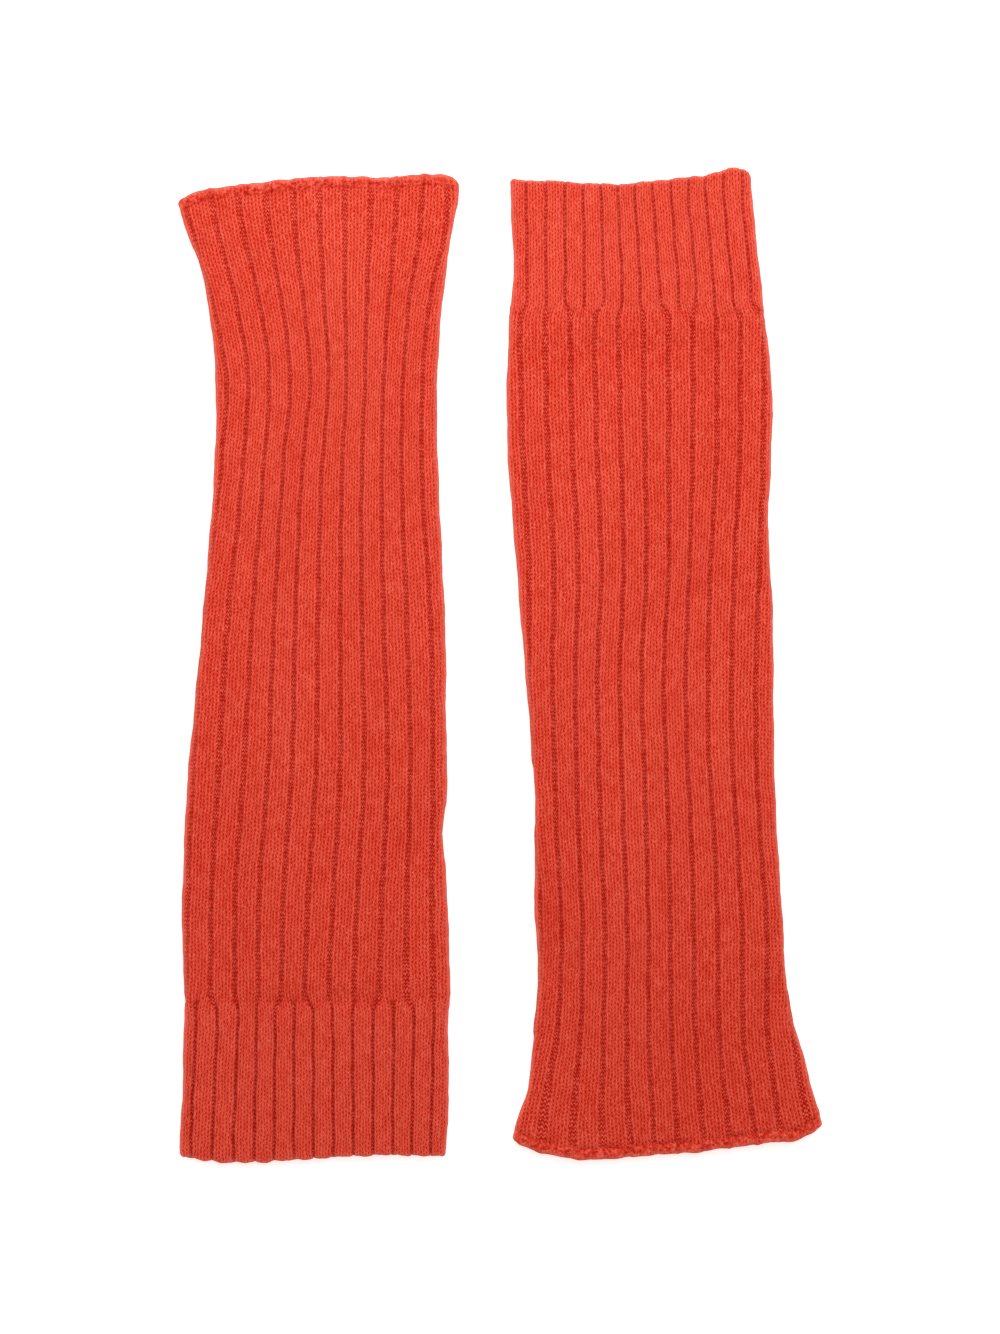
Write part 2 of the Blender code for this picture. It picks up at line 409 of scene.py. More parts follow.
def read_channels(table, y):
    """Every channel's x on the upper panel at heights y, the odd ones midway on a cubic.

    Each wanders a little from side to side.
    """
    rising = sorted(table, key=lambda row: row.y)
    heights = [row.y * MM for row in rising]
    even = [
        smooth_through(heights, [row.x[n] * MM for row in rising], y)
        for n in range(len(rising[0].x))
    ]
    slopes = np.gradient(np.array(even), axis=0)
    odd = [
        (even[n] + even[n + 1]) / 2 + (slopes[n] - slopes[n + 1]) / 8
        for n in range(len(even) - 1)
    ]
    channels = [x for pair in zip(even, odd + [None]) for x in pair if x is not None]
    return [waved(x, y, CHANNEL_WAVES, n) for n, x in enumerate(channels)]


def channel_arcs(table, first_wale, rib, y, left, right):
    """The wales of all channels round the tube, and how far round each lies, as two lists.

    The upper panel's are read from the table. The rest share out what is left of the turn.
    """
    front = [arc_at(x, left, right) for x in read_channels(table, y)]
    turn = 2 * panel_arc(left, right)
    last_wale = first_wale + rib * (len(front) - 1)
    per_wale = (turn + front[0] - front[-1]) / (WALES - (last_wale - first_wale))
    wales = [first_wale + rib * n for n in range(len(front))]
    arcs = list(front)
    while wales[0] - rib >= FIRST_WALE:
        wales.insert(0, wales[0] - rib)
        arcs.insert(0, arcs[0] - rib * per_wale)
    while wales[-1] + rib < FIRST_WALE + WALES:
        wales.append(wales[-1] + rib)
        arcs.append(arcs[-1] + rib * per_wale)
    before, after = wales[-1] - WALES, wales[0] + WALES
    return [before] + wales + [after], [arcs[-1] - turn] + arcs + [arcs[0] + turn]


def spread_wales(columns, wales, arcs, purl_half, purl_share):
    """Each column's way round the tube, and its rib's width.

    Between two channels the purl wales take purl_share of the width at each side, and the knit
    wales share the rest evenly.
    """
    wales = np.array(wales)
    cell = np.clip(np.searchsorted(wales, columns, side="right") - 1, 0, len(wales) - 2)
    arcs = np.array(arcs)
    place = np.arange(len(columns))
    start, end = arcs[cell, :, place].T, arcs[cell + 1, :, place].T
    width = end - start
    count = wales[cell + 1] - wales[cell]
    along = (columns - wales[cell]) / count
    purl = purl_half / count
    share = purl_share(width)
    knit = (1 - 2 * share) * (along - purl) / (1 - 2 * purl)
    spread = np.where(
        along < purl,
        share * along / purl,
        np.where(along > 1 - purl, 1 - share * (1 - along) / purl, share + knit),
    )
    return start + spread * width, width


def bent_channels(columns, wide_wales, narrow_wales, bend):
    """Each column's distance from the nearest channel of the wide rib and of the narrow rib.

    Where the ribs change, a wide channel runs into the narrow one nearest to it: its middle goes
    from its own wale at a bend of 0 to the narrow channel's at 1. A narrow channel that no wide
    one runs into starts there.
    """
    wide, narrow = np.array(wide_wales), np.array(narrow_wales)
    apart = np.abs(wide[:, None] - narrow[None, :])
    nearest_narrow, nearest_wide = apart.argmin(axis=1), apart.argmin(axis=0)
    joined = nearest_narrow[nearest_wide] == np.arange(len(narrow))
    to_narrow = narrow[nearest_narrow] - wide
    to_wide = np.where(joined, wide[nearest_wide] - narrow, 0)
    wide_middles = wide[:, None, None] + to_narrow[:, None, None] * bend
    narrow_middles = narrow[:, None, None] + to_wide[:, None, None] * (1 - bend)
    from_wide = np.abs(columns - wide_middles).min(axis=0)
    from_narrow = np.abs(columns - narrow_middles).min(axis=0)
    return from_wide, from_narrow


def wide_purl_share(width):
    """A narrower rib closes its channel: the purl wales give way more than the knit ones."""
    knit = CLOSED_KNIT + KNIT_STRETCH * (width - CLOSED_RIB)
    return np.clip(0.5 * (width - knit) / width, *WIDE_PURL_SHARES)


def narrow_purl_share(width):
    """A narrow rib's purl wale is a slit at any width."""
    return np.full_like(width, NARROW_PURL_SHARE)


def crease_lift(creases, x, y):
    """The sum of the creases' rises, each a bell along itself and across."""
    lift = np.zeros_like(x)
    for crease in creases:
        lean = np.radians(crease.lean)
        away_x, away_y = x / MM - crease.x, y / MM - crease.y
        along = away_x * np.sin(lean) + away_y * np.cos(lean)
        across = away_x * np.cos(lean) - away_y * np.sin(lean)
        ridge = np.exp(-((along / crease.reach) ** 2) - (across / crease.breadth) ** 2)
        lift += crease.rise * MM * ridge
    return lift


def rib_relief(from_channel, purl_half, depth, half_rib):
    """The rib's height over the section, and how far a place is in the channel, from 0 to 1.

    The channel has soft walls, and the rib is slightly domed.
    """
    out_of_channel = ease(0.25 * purl_half, 0.3 + 0.9 * purl_half, from_channel)
    dome = CROWN * (1 - (1 - np.clip(from_channel / half_rib, 0, 1)) ** 2)
    return dome * out_of_channel - depth * (1 - out_of_channel), 1 - out_of_channel


# A stretch's columns laid round the flattened tube: their x, y and z, the outward normal's x and
# z, the folds' x, how far past the cuff line they lie, the wide rib's width there, and the wales
# of the two ribs' channels
Laid = namedtuple(
    "Laid", "x y z outward upward left right past_line rib_width wide_wales narrow_wales"
)
# The ribs at every point: their height, how far in a wide channel the point lies, how purl it is,
# how near a rib's edge, where a painted highlight goes, how dark their painted shade is, and how
# many wales from a slit
Ribs = namedtuple("Ribs", "relief in_channel purl edge dark from_slit")

LAYING_ROUNDS = 4


def lay_columns(warmer, columns, start_line, end_line, distance):
    """Where the columns lie, at distances from the stretch's start line.

    A column's y depends on how far across the width it lies, and that depends on its y, so both
    are worked out in a few rounds.
    """
    middle = np.array(0.5)
    length = abs(float(end_line(middle) - start_line(middle)))
    share = np.full((len(distance), len(columns)), 0.5)
    for _ in range(LAYING_ROUNDS):
        y = start_line(share) * (1 - distance / length) + end_line(share) * distance / length
        left, right = side_lines(warmer.sides, y)
        wide = channel_arcs(warmer.wide_rib, 0, WIDE_RIB, y, left, right)
        wide_arc, rib_width = spread_wales(columns, *wide, WIDE_PURL_HALF, wide_purl_share)
        narrow = channel_arcs(
            warmer.narrow_rib, warmer.narrow_start, NARROW_RIB, y, left, right
        )
        narrow_arc, _ = spread_wales(columns, *narrow, NARROW_PURL_HALF, narrow_purl_share)
        past_line = warmer.to_cuff * (y - warmer.cuff_line)
        in_cuff = ease(*WALES_SHIFT, past_line)
        arc = (1 - in_cuff) * wide_arc + in_cuff * narrow_arc
        x, z, outward, upward = section(arc, left, right)
        share = np.clip((x - left) / (right - left), 0, 1)
    return Laid(
        x, y, z, outward, upward, left, right, past_line, rib_width, wide[0], narrow[0]
    )


def rib_pattern(warmer, columns, turn, laid, along):
    """The relief and the masks of the two ribs, one turning into the other at the cuff line.

    along is the share of the warmer's length, from the flared end. A wide channel is shallower
    and its painted shade paler where its rib is stretched. The painted shade comes and goes in
    patches.
    """
    hollow = warmer.hollow
    lean = ease(*CHANNEL_LEAN, laid.past_line)
    from_wide, from_slit = bent_channels(columns, laid.wide_wales, laid.narrow_wales, lean)
    wide_part = 1 - ease(*WIDE_RIB_ENDS, laid.past_line)
    narrow_part = ease(*NARROW_RIB_STARTS, laid.past_line)

    closed = 1 - 0.6 * ease(*STRETCHED_RIB, laid.rib_width)
    near_cuff = ease(*NEAR_CUFF, along)
    depth = hollow.depth_at_flare + (hollow.depth_at_cuff - hollow.depth_at_flare) * near_cuff
    depth = depth * MM * (0.6 + 0.4 * closed)
    wide_relief, in_channel = rib_relief(from_wide, WIDE_PURL_HALF, depth, WIDE_RIB / 2)
    slit_depth = hollow.slit_depth * MM
    narrow_relief, _ = rib_relief(from_slit, NARROW_PURL_HALF, slit_depth, NARROW_RIB / 2)
    relief = wide_part * wide_relief + narrow_part * narrow_relief
    relief = relief * (0.4 + 0.6 * laid.upward**2)

    wide_purl = np.clip((WIDE_PURL_HALF - from_wide) * COLUMNS_PER_WALE + 0.5, 0, 1)
    narrow_purl = np.clip((NARROW_PURL_HALF - from_slit) * COLUMNS_PER_WALE + 0.5, 0, 1)
    purl = wide_part * wide_purl + narrow_part * narrow_purl
    # A painted highlight on the knit leg beside each wide channel
    edge = bell(from_wide, WIDE_PURL_HALF + 0.28, 0.26) * wide_part

    # Painted shade in the wide channels and the narrow slits, darker where they are closed, in
    # patches
    shade = hollow.shade_at_flare + (hollow.shade_at_cuff - hollow.shade_at_flare) * near_cuff
    wide_dark = wide_part * (1 - ease(0.05, 1.08, from_wide)) * closed * shade
    narrow_dark = narrow_part * (1 - ease(0.05, 0.72, from_slit)) * hollow.slit_shade
    patches = 0.82 + 0.3 * beat(turn, (16, laid.y * 95), (-5, laid.y * 41))
    dark = np.maximum(wide_dark, narrow_dark) * patches
    return Ribs(relief, in_channel, purl, edge, dark, from_slit)


def outer_relief(warmer, columns, turn, laid, ribs, ribbed, broken, from_flare):
    """How far the knit's outside stands off the flattened oval.

    It is the ribs and the stitches' legs, or at the flared end a looped bead, with a broken dip
    between the two. The underside is sunk by what stands up on it, so that it lies flat.
    """
    legs = WALE_RELIEF * np.abs(np.sin(2 * np.pi * columns)) * (1 - ribs.purl)
    bead = np.sqrt(np.clip(1 - ((from_flare / WELT_DEPTH - 0.5) / 0.56) ** 2, 0, 1))
    loops = 0.00016 * np.cos(2 * np.pi * (columns + from_flare / WELT_LOOP))
    loops = loops + 0.00014 * beat(turn, (33, 0), (12, from_flare / 0.0011))
    dip = bell(from_flare, WELT_DEPTH, 0.0009) * broken
    dip = dip + 0.5 * ease(0, WELT_DEPTH, from_flare) * (1 - ribbed) * ribs.in_channel
    flat = laid.upward**2
    raised = ribbed * (ribs.relief + legs)
    raised = raised + (1 - ribbed) * bead * (BEAD_RISE + loops) * flat - SEAM_DIP * dip * flat
    downward = np.clip(-laid.upward, 0, 1)
    hidden = crease_lift(warmer.hidden, laid.x, laid.y) * downward
    resting = (CROWN + WALE_RELIEF + BEAD_RISE * (1 - ribbed)) * downward
    return raised + hidden - resting


def edge_shift(turn, from_slit, from_flare, from_cuff_end):
    """How far the knit moves along the arm near its free ends, towards the cuff.

    The cuff's end is scalloped, out at each narrow rib and in at each slit, and both ends have
    waves of a few sizes that are whole round the tube.
    """
    scallop = SCALLOP * (0.4 - (1 - np.clip(from_slit / (NARROW_RIB / 2), 0, 1)) ** 2)
    scallop = scallop + 0.0004 * beat(turn, (19, 2), (8, 0))
    scallop = scallop + 0.00012 * beat(turn, (51, 0), (22, 1))
    roll = 0.0004 * beat(turn, (14, 0), (5, 0.7)) + 0.00015 * np.sin(turn * 35 + 1.3)
    at_cuff_end = 1 - ease(0.0, 0.007, from_cuff_end)
    at_flare = 1 - ease(0.001, 0.009, from_flare)
    return scallop * at_cuff_end + roll * at_flare


def edge_fuzz_and_painted_sheen(upward, from_flare, from_cuff_end):
    """How pale the wool is painted, for fuzz and a painted sheen: most at the free ends and on the
    side folds' upper halves.
    """
    at_fold = ease(0.01, 0.70, 1 - upward**2) * (0.35 + 0.65 * ease(0.0, 0.5, upward))
    at_flare = 1 - ease(0.0004, 0.0022, from_flare)
    at_cuff_end = 1 - ease(0.0002, 0.0018, from_cuff_end)
    return np.maximum(np.maximum(at_fold, at_flare), at_cuff_end)


def channel_shade(laid, x, ribs, ribbed, broken, from_flare):
    """How much painted shade a point gets: in a channel or under the welt, and less close to a side
    fold.
    """
    # Painted shade under the rolled welt, along the seam's dip
    under_welt = bell(from_flare, WELT_DEPTH + 0.0002, 0.0007) * (0.15 + 0.35 * broken)
    dark = np.maximum(ribs.dark * (0.45 + 0.55 * ribbed), under_welt)
    from_fold = np.minimum(x - laid.left, laid.right - x)
    return dark * (0.45 + 0.55 * ease(0.0008, 0.0045, from_fold))


def stretch_grid(warmer, start_line, end_line, rows, start_at, whole_length):
    """A stretch's grid of points (row, column, xyz), with its stitch places and masks.

    rows gives each row's distance from the start line and how deep it is sunk into the wall, from
    0 on the outside to 1 on the inside. start_at is the start line's distance from the flared
    end's free edge, and whole_length the warmer's. A point lies on the flattened oval, moved
    along the normal by the relief on the outside and by a wall's thickness on the inside. A
    crease raises or lowers it in proportion to its height, so the underside stays put.
    """
    columns = FIRST_WALE + np.arange(WALES * COLUMNS_PER_WALE) / COLUMNS_PER_WALE
    turn = 2 * np.pi * columns / WALES
    distance, sunk = (np.array(column)[:, None] for column in zip(*rows))
    from_flare = start_at + distance
    from_cuff_end = whole_length - from_flare
    ribbed = ease(*RIB_STARTS, from_flare)
    broken = 0.5 + 0.5 * beat(turn, (15, 0.6), (7, 1.0))

    laid = lay_columns(warmer, columns, start_line, end_line, distance)
    ribs = rib_pattern(warmer, columns, turn, laid, from_flare / whole_length)
    outside = outer_relief(warmer, columns, turn, laid, ribs, ribbed, broken, from_flare)
    offset = (1 - sunk) * outside - sunk * KNIT_WALL
    lift = crease_lift(warmer.creases, laid.x, laid.y)
    x = laid.x + laid.outward * offset
    y = laid.y + warmer.to_cuff * edge_shift(turn, ribs.from_slit, from_flare, from_cuff_end)
    z = (laid.z + laid.upward * offset) * (1 + lift / (2 * HALF_HEIGHT))
    masks = {
        "purl": ribs.purl * ribbed,
        # painted shade in the channels and under the welt
        "channel": channel_shade(laid, x, ribs, ribbed, broken, from_flare),
        # a painted highlight at a rib's edge
        "rib_edge_highlight": ribs.edge * ribbed,
        # paler fuzz with a painted sheen at the folds and the free ends
        "fuzz_and_painted_sheen": edge_fuzz_and_painted_sheen(laid.upward, from_flare, from_cuff_end),
        # painted light on a crease's ridge and painted shade in its trough
        "crease_light_and_shade": lift / MM,
    }
    return np.stack([x, y, z], axis=2), columns, from_flare[:, 0] / COURSE, masks


CAP_ROWS = 6  # round a free end
INNER_START = 0.003  # from a stretch's ends to the first and the last row of its inside
SHARP_ANGLE = 75  # degrees


def cap_rows(length, at_start, free):
    """The rows round an end of the wall, from the inside out at the start and back in at the end.

    A free end is a half circle. An end that meets the next stretch is square.
    """
    if free:
        turn = np.linspace(0.08, 0.92, CAP_ROWS) * np.pi
        inset = KNIT_WALL / 2 * (1 - np.sin(turn))
        sunk = (1 + np.cos(turn)) / 2
        cap = list(zip(inset, sunk))
    else:
        cap = [(0.0, 1.0), (0.0, 0.0)]
    if at_start:
        return cap
    return [(length - inset, sunk) for inset, sunk in reversed(cap)]


def wall_rows(length, outer, start_free, end_free, inner_count):
    """A closed loop of rows: the start cap, the outer rows, the end cap and the inner rows."""
    outside = [(at, 0.0) for at in outer]
    inside = [(at, 1.0) for at in np.linspace(length - INNER_START, INNER_START, inner_count)]
    return (
        cap_rows(length, True, start_free) + outside + cap_rows(length, False, end_free) + inside
    )


def knit_object(name, grid, facing_up, material):
    """A mesh of quads between neighbouring rows and columns, closed round both ways."""
    points, columns, courses, masks = grid
    rows, count = points.shape[:2]
    row, column = np.meshgrid(np.arange(rows), np.arange(count), indexing="ij")
    next_row, next_column = (row + 1) % rows, (column + 1) % count
    corners = [(row, column), (next_row, column), (next_row, next_column), (row, next_column)]
    if not facing_up:
        corners.reverse()
    faces = np.stack([r * count + c for r, c in corners], axis=2).reshape(-1, 4)
    mesh = bpy.data.meshes.new(name)
    mesh.from_pydata(points.reshape(-1, 3).tolist(), [], faces.tolist())
    mesh.shade_smooth()
    mesh.set_sharp_from_angle(angle=np.radians(SHARP_ANGLE))
    wale_steps = np.stack([np.where(c == column, 0, 1) for r, c in corners], axis=2)
    wales = columns[column][..., None] + wale_steps / COLUMNS_PER_WALE
    places = np.stack([np.broadcast_to(courses[r], row.shape) for r, c in corners], axis=2)
    stitches = mesh.uv_layers.new(name="stitches")
    stitches.data.foreach_set("uv", np.stack([wales, places], axis=3).ravel())
    for label, values in masks.items():
        layer = mesh.attributes.new(label, "FLOAT", "POINT")
        layer.data.foreach_set("value", np.ascontiguousarray(values).ravel())
    mesh.materials.append(material)
    cloth = bpy.data.objects.new(name, mesh)
    bpy.context.scene.collection.objects.link(cloth)
    return cloth


# ---------------------------------------------------------------- finishes


class Value:
    """A socket in a material's node tree; arithmetic on it adds Math nodes."""

    def __init__(self, tree, socket=None):
        self.tree = tree
        self.socket = socket

    def node(self, kind, inputs, output=0, **settings):
        """A node of that kind: its settings first, then its sockets' values or links."""
        node = self.tree.nodes.new(kind)
        for name, setting in settings.items():
            setattr(node, name, setting)
        for place, value in inputs.items():
            if isinstance(value, Value):
                self.tree.links.new(value.socket, node.inputs[place])
            else:
                node.inputs[place].default_value = value
        return Value(self.tree, node.outputs[output])

    def math(self, operation, *values):
        return self.node("ShaderNodeMath", dict(enumerate(values)), operation=operation)

    def __add__(self, other):
        return self.math("ADD", self, other)

    def __radd__(self, other):
        return self.math("ADD", other, self)

    def __sub__(self, other):
        return self.math("SUBTRACT", self, other)

    def __rsub__(self, other):
        return self.math("SUBTRACT", other, self)

    def __mul__(self, other):
        return self.math("MULTIPLY", self, other)

    def __pow__(self, other):
        return self.math("POWER", self, other)

    def fraction(self):
        return self.math("FRACT", self)

    def whole(self):
        return self.math("FLOOR", self)

    def magnitude(self):
        return self.math("ABSOLUTE", self)

    def sine(self):
        return self.math("SINE", self)

    def cosine(self):
        return self.math("COSINE", self)

    def within(self, low, high):
        """0 at low and 1 at high, straight between and clamped."""
        return self.node("ShaderNodeMapRange", {0: self, 1: low, 2: high}, clamp=True)

    def towards(self, other, share):
        """This number moved towards another one by a share."""
        return self.node("ShaderNodeMix", {0: share, 2: self, 3: other}, data_type="FLOAT")


def blend_colours(tree, share, first, second):
    """The first colour moved towards the second one by a share."""
    return Value(tree).node(
        "ShaderNodeMix", {0: share, 6: first, 7: second}, output=2, data_type="RGBA"
    )


# The wool, its painted lit and shaded copies, its painted channel shade, pale flecks of nap, pale
# fuzz with a painted sheen, and the sheen's tint
LIT_WOOL = (0.860, 0.1400, 0.0900, 1.0)
WOOL = (0.700, 0.0475, 0.0255, 1.0)
SHADED_WOOL = (0.425, 0.0085, 0.0020, 1.0)
SHADED_CHANNEL_WOOL = (0.370, 0.0055, 0.0012, 1.0)
NAP = (0.920, 0.2500, 0.1750, 1.0)
PAINTED_SHEEN_FUZZ = (0.900, 0.2600, 0.1900, 1.0)
SHEEN = (1.0, 0.28, 0.18, 1.0)

# What each part adds to how light the wool is painted, from its darkest to its lightest: the
# stitches' painted light and shade, the wool's own fibres, blotches and uneven legs, a painted
# highlight at a rib's edge, paler fuzz with a painted sheen, painted light and shade on the
# creases, and an offset
STITCH_SHARE = 0.80
FIBRE_SHARE = 0.94
BLOTCH_SHARE = 0.15
UNEVEN_SHARE = 0.24
RIB_EDGE_HIGHLIGHT_SHARE = 0.03
FUZZ_AND_PAINTED_SHEEN_SHARE = 0.12
# Painted light on a crease's ridge and painted shade in its trough
CREASE_LIGHT_AND_SHADE_SHARE = 0.06  # per millimetre of a crease
TONE_OFFSET = -0.05

LEG_LEAN = 1.5  # courses a leg climbs from the wale's middle to its side
NAP_SHARE = 0.34
BUMP_DEPTH = 0.00035


def knit_finish(name, tone=0.0, rolled=False):
    """Red carded wool in knit and purl stitches, set out by the stitches map.

    A knit stitch is two legs side by side. A leg's painted shadow lies where the course less the
    leg's lean is whole, and a painted dark pit lies where two legs end beside each other. A purl
    stitch is a bar across the wale. The stitches' light and shade are painted into the colour,
    between lit and shaded copies of the wool, as well as bumped. Noise lets the stitches wander,
    and adds fibres, blotches and flecks of nap. Where the channel mask is high the wool is painted
    in a deep red shade between the bars, and where the fuzz and sheen mask is high it is paler, for
    fuzz and a painted sheen. A tone over 0 is lighter. A rolled finish shows loops more than
    stitches.
    """
    material = bpy.data.materials.new(name)
    material.use_nodes = True
    tree = material.node_tree
    finish = tree.nodes["Principled BSDF"]
    start = Value(tree)

    def mask(label):
        return start.node("ShaderNodeAttribute", {}, output=2, attribute_name=label)

    def noise(scale, detail, output=0, **more):
        settings = {"Vector": place, "Scale": scale, "Detail": detail, **more}
        return start.node("ShaderNodeTexNoise", settings, output=output)

    def first_and_second(vector):
        parts = start.node("ShaderNodeSeparateXYZ", {0: vector})
        return parts, Value(tree, parts.socket.node.outputs[1])

    place = start.node("ShaderNodeTexCoord", {}, output=3)
    wander_across, wander_along = first_and_second(noise(260.0, 2.0, output=1))
    stitches = start.node("ShaderNodeUVMap", {}, uv_map="stitches")
    wale_place, course_place = first_and_second(stitches)
    wale = wale_place + (wander_across - 0.5) * 0.45
    course = course_place + (wander_along - 0.5) * 1.5

    off_middle = ((wale.fraction() - 0.5).magnitude()) * 2
    leg = course - off_middle * LEG_LEAN
    between_legs = ((wale * (2 * np.pi)).cosine().magnitude()) ** 1.6
    leg_end = ((course + off_middle * 0.5) * (2 * np.pi)).cosine() * 0.5 + 0.5
    gap = (leg.fraction() * np.pi).sine() ** 0.8
    knit_height = (1 - between_legs * 0.75) * (gap * 0.5 + 0.5)
    knit_light = 1.07 - between_legs * 0.25 - between_legs * leg_end * 0.66 - (1 - gap) * 0.45
    bar = ((course + (wale * (2 * np.pi)).sine() * 0.25) * (2 * np.pi)).cosine() * 0.5 + 0.5
    purl_height = bar * 0.7 + 0.15
    one_leg = start.node("ShaderNodeCombineXYZ", {0: (wale * 2).whole(), 1: leg.whole()})
    uneven = start.node("ShaderNodeTexWhiteNoise", {0: one_leg}, noise_dimensions="2D")
    purl_light = (bar**1.4) * (uneven * 0.7 + 0.55) + 0.08
    purl = mask("purl")
    height = knit_height.towards(purl_height, purl)
    stitch_light = knit_light.towards(purl_light, purl)
    if rolled:
        loops = noise(620.0, 2.0, Roughness=0.6).within(0.33, 0.67)
        height = height * 0.4 + loops * 0.6
        stitch_light = stitch_light * 0.4 + loops * 0.90 - 0.10

    fibre_place = start.node("ShaderNodeMapping", {0: place, 3: (2600.0, 2300.0, 2600.0)})
    fibres = noise(1.0, 3.0, Roughness=0.7, Vector=fibre_place)
    fuzz_and_painted_sheen = mask("fuzz_and_painted_sheen")
    # The wool's lightness, with the stitches', rib edges' and creases' light and shade painted in
    light = (
        stitch_light * STITCH_SHARE
        + (fibres - 0.5) * FIBRE_SHARE
        + (noise(150.0, 3.0) - 0.5) * BLOTCH_SHARE
        + (uneven - 0.5) * UNEVEN_SHARE
        + mask("rib_edge_highlight") * RIB_EDGE_HIGHLIGHT_SHARE
        + fuzz_and_painted_sheen * FUZZ_AND_PAINTED_SHEEN_SHARE
        + mask("crease_light_and_shade") * CREASE_LIGHT_AND_SHADE_SHARE
        + (tone + TONE_OFFSET)
    )
    lit = light.within(0.0, 1.0)
    wool = blend_colours(tree, lit.within(0.0, 0.5), SHADED_WOOL, WOOL)
    wool = blend_colours(tree, lit.within(0.45, 1.0), wool, LIT_WOOL)
    # Painted shade in the channels, between the purl bars
    in_channel = mask("channel") * (1 - purl_light * 0.75) * 0.85
    wool = blend_colours(tree, in_channel, wool, SHADED_CHANNEL_WOOL)
    flecks = noise(1100.0, 1.0).within(0.62, 0.74)
    wool = blend_colours(tree, flecks * NAP_SHARE, wool, NAP)
    # Paler fuzz with a painted sheen at the side folds and the free ends
    wool = blend_colours(tree, fuzz_and_painted_sheen * (fibres * 0.35 + 0.12), wool, PAINTED_SHEEN_FUZZ)
    tree.links.new(wool.socket, finish.inputs["Base Color"])

    roughness = 0.82 + fibres * 0.16
    tree.links.new(roughness.socket, finish.inputs["Roughness"])
    relief = height + (fibres - 0.5) * 0.8
    bump = start.node(
        "ShaderNodeBump", {"Strength": 0.8, "Distance": BUMP_DEPTH, "Height": relief}
    )
    tree.links.new(bump.socket, finish.inputs["Normal"])
    finish.inputs["Metallic"].default_value = 0.0
    finish.inputs["Specular IOR Level"].default_value = 0.0
    finish.inputs["Sheen Weight"].default_value = 0.18
    finish.inputs["Sheen Roughness"].default_value = 0.25
    finish.inputs["Sheen Tint"].default_value = SHEEN
    return material


# ---------------------------------------------------------------- the pair


def seam_lines(warmer):
    """The lines across a warmer where its stretches end, as functions of the share of the width."""

    def flare(across):
        return edge_line(warmer.flare_edge, across)

    def welt_seam(across):
        return edge_line(warmer.flare_edge, across) + warmer.to_cuff * WELT_DEPTH

    def cuff_line(across):
        return np.full_like(across, warmer.cuff_line)

    def cuff_end(across):
        return edge_line(warmer.cuff_edge, across)

    return flare, welt_seam, cuff_line, cuff_end


def outer_steps(length, near_start, step, near_end):
    """Distances of the outer rows: close ones near the two ends, and even ones between."""
    first, last = near_start[-1] + step, length - near_end[-1] - step
    count = int(round((last - first) / step)) + 1
    between = np.linspace(first, last, count)
    return list(near_start) + list(between) + [length - at for at in reversed(near_end)]


# Distances of the outer rows from a stretch's ends
WELT_ROWS = (0.0018, 0.0023, 0.0028, 0.0033, 0.0038, 0.0043)
NEAR_WELT = (0.0005, 0.0010, 0.0015, 0.0022, 0.0030, 0.0042)
NEAR_CHANGE = (0.0007, 0.0014, 0.0021, 0.0028, 0.0036)
NEAR_END = (0.0017, 0.0024, 0.0034, 0.0048)
SLEEVE_STEP = 0.0031
CUFF_STEP = 0.0030


def make_warmer(warmer, finishes):
    """A warmer's three stretches, each one closed shell that rides on and stands for its solid."""
    flare, welt_seam, cuff_line, cuff_end = seam_lines(warmer)
    middle = np.array(0.5)
    sleeve_length = abs(float(cuff_line(middle) - welt_seam(middle)))
    cuff_length = abs(float(cuff_end(middle) - cuff_line(middle)))
    cuff_at = WELT_DEPTH + sleeve_length
    whole_length = cuff_at + cuff_length
    sleeve_steps = outer_steps(sleeve_length, NEAR_WELT, SLEEVE_STEP, NEAR_CHANGE)
    cuff_steps = outer_steps(cuff_length, NEAR_CHANGE, CUFF_STEP, NEAR_END)
    welt_rows = wall_rows(
        WELT_DEPTH, WELT_ROWS, start_free=True, end_free=False, inner_count=2
    )
    sleeve_rows = wall_rows(
        sleeve_length, sleeve_steps, start_free=False, end_free=False, inner_count=8
    )
    cuff_rows = wall_rows(
        cuff_length, cuff_steps, start_free=False, end_free=True, inner_count=4
    )
    stretches = (
        ("welt", flare, welt_seam, 0, welt_rows),
        ("sleeve", welt_seam, cuff_line, WELT_DEPTH, sleeve_rows),
        ("cuff", cuff_line, cuff_end, cuff_at, cuff_rows),
    )
    made = {}
    for kind, start_line, end_line, start_at, rows in stretches:
        grid = stretch_grid(warmer, start_line, end_line, rows, start_at, whole_length)
        name = f"{warmer.name}_{kind}_knit"
        cloth = knit_object(name, grid, warmer.to_cuff < 0, finishes[kind])
        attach(cloth, "root")
        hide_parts(f"{warmer.name}_{kind}")
        made[kind] = cloth
    return made


finishes = {
    "sleeve": knit_finish("wide_rib_wool"),
    "cuff": knit_finish("narrow_rib_wool", tone=0.06),
    "welt": knit_finish("rolled_welt_wool", tone=0.02, rolled=True),
}
left = make_warmer(WARMERS[0], finishes)
right = make_warmer(WARMERS[1], finishes)

# ---------------------------------------------------------------- floor, light and camera


WHITE = (1.0, 1.0, 1.0, 1.0)
PALE = (0.93, 0.93, 0.93, 1.0)
FLOOR_HALF = 3.0  # of its side
FLOOR_HEIGHT = -0.0002
FLOOR_GLOW = 0.52


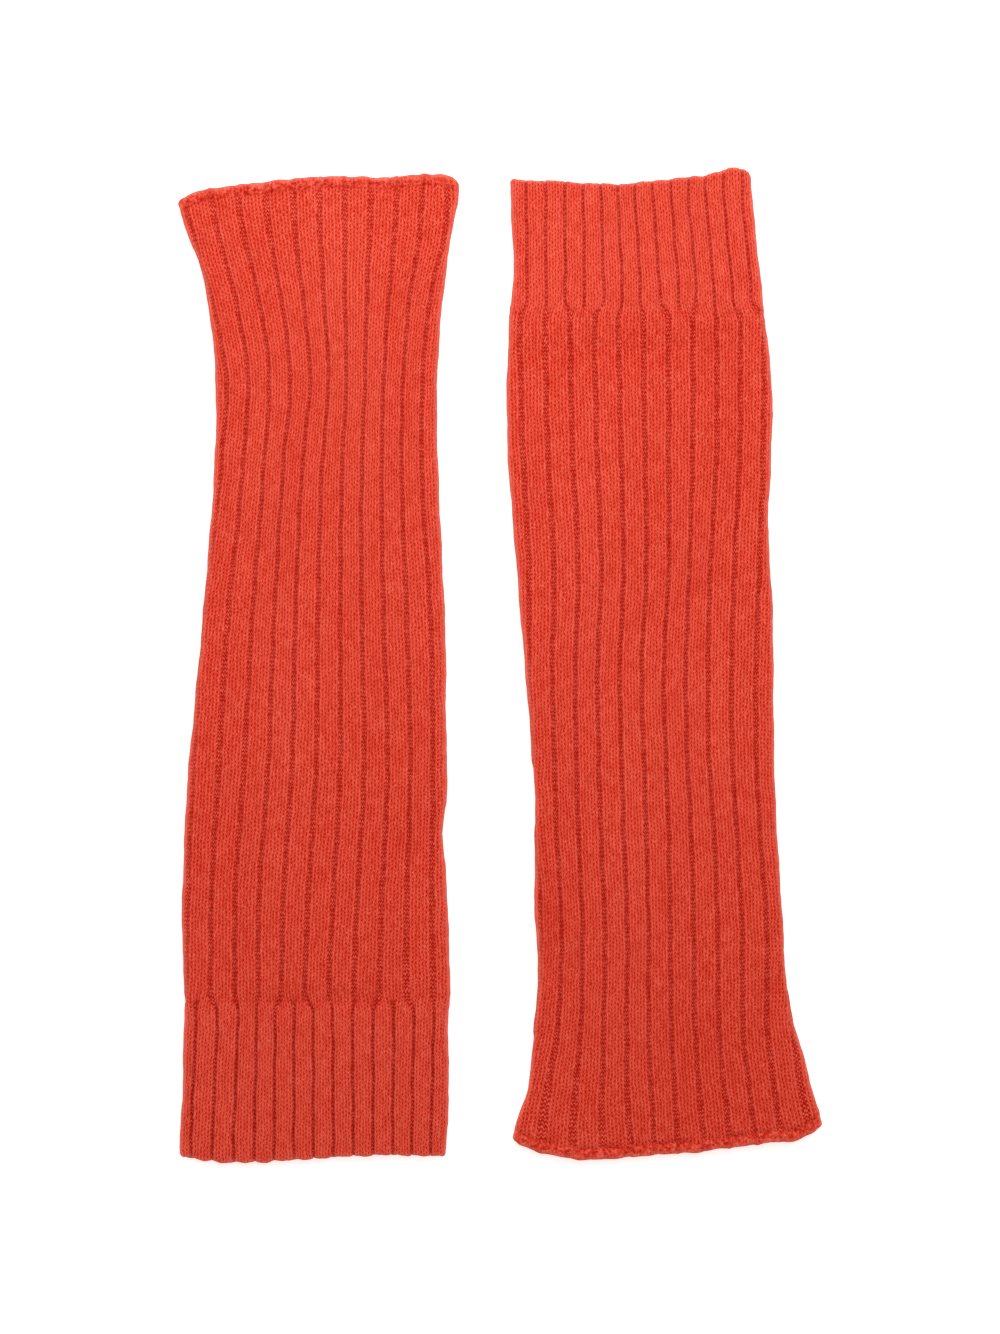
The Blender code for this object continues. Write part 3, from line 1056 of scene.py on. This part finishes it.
def plain_floor():
    """A square white light table that glows so faintly that lit cloth casts no grey on it."""
    signs = [(-1, -1), (1, -1), (1, 1), (-1, 1)]
    corners = [(FLOOR_HALF * across, FLOOR_HALF * up, FLOOR_HEIGHT) for across, up in signs]
    mesh = bpy.data.meshes.new("floor")
    mesh.from_pydata(corners, [], [(0, 1, 2, 3)])
    material = bpy.data.materials.new("pale_floor")
    material.use_nodes = True
    finish = material.node_tree.nodes["Principled BSDF"]
    finish.inputs["Base Color"].default_value = PALE
    finish.inputs["Roughness"].default_value = 0.95
    finish.inputs["Specular IOR Level"].default_value = 0.1
    finish.inputs["Emission Color"].default_value = WHITE
    finish.inputs["Emission Strength"].default_value = FLOOR_GLOW
    mesh.materials.append(material)
    floor = bpy.data.objects.new("floor", mesh)
    bpy.context.scene.collection.objects.link(floor)


def soft_panel(name, place, tilt, size, power, colour=(1.0, 1.0, 1.0)):
    """A square studio light panel, tilted by degrees about x and about y."""
    lamp = bpy.data.lights.new(name, "AREA")
    lamp.shape = "SQUARE"
    lamp.size = size
    lamp.energy = power
    lamp.color = colour
    light = bpy.data.objects.new(name, lamp)
    light.location = place
    light.rotation_euler = (np.radians(tilt[0]), np.radians(tilt[1]), 0)
    light.visible_camera = False
    bpy.context.scene.collection.objects.link(light)


def even_sky(colour, strength):
    """The studio's own light, the same from all sides."""
    world = bpy.data.worlds.new("studio")
    world.use_nodes = True
    background = world.node_tree.nodes["Background"]
    background.inputs["Color"].default_value = colour
    background.inputs["Strength"].default_value = strength
    bpy.context.scene.world = world


def overhead_camera():
    """A camera that looks straight down on the pair's middle."""
    lens = bpy.data.cameras.new("overhead")
    lens.sensor_fit = "VERTICAL"
    lens.sensor_height = 24.0
    lens.lens = 70.6
    camera = bpy.data.objects.new("overhead", lens)
    camera.location = (0.0002, -0.0006, 1.6)
    bpy.context.scene.collection.objects.link(camera)
    bpy.context.scene.camera = camera


plain_floor()
soft_panel(
    "key_panel",
    place=(0.02, 0.36, 0.55),
    tilt=(-30, 0),
    size=0.5,
    power=2.85,
    colour=(0.97, 1.12, 1.16),
)
soft_panel("fill_panel", place=(0.70, 0.50, 1.30), tilt=(-20, 28), size=0.9, power=3)
soft_panel("side_panel", place=(-0.75, 0.0, 0.30), tilt=(0, -65), size=0.4, power=0.65)
even_sky(colour=(1.0, 0.92, 0.88, 1.0), strength=0.575)
bpy.context.scene.view_settings.view_transform = "Standard"
overhead_camera()
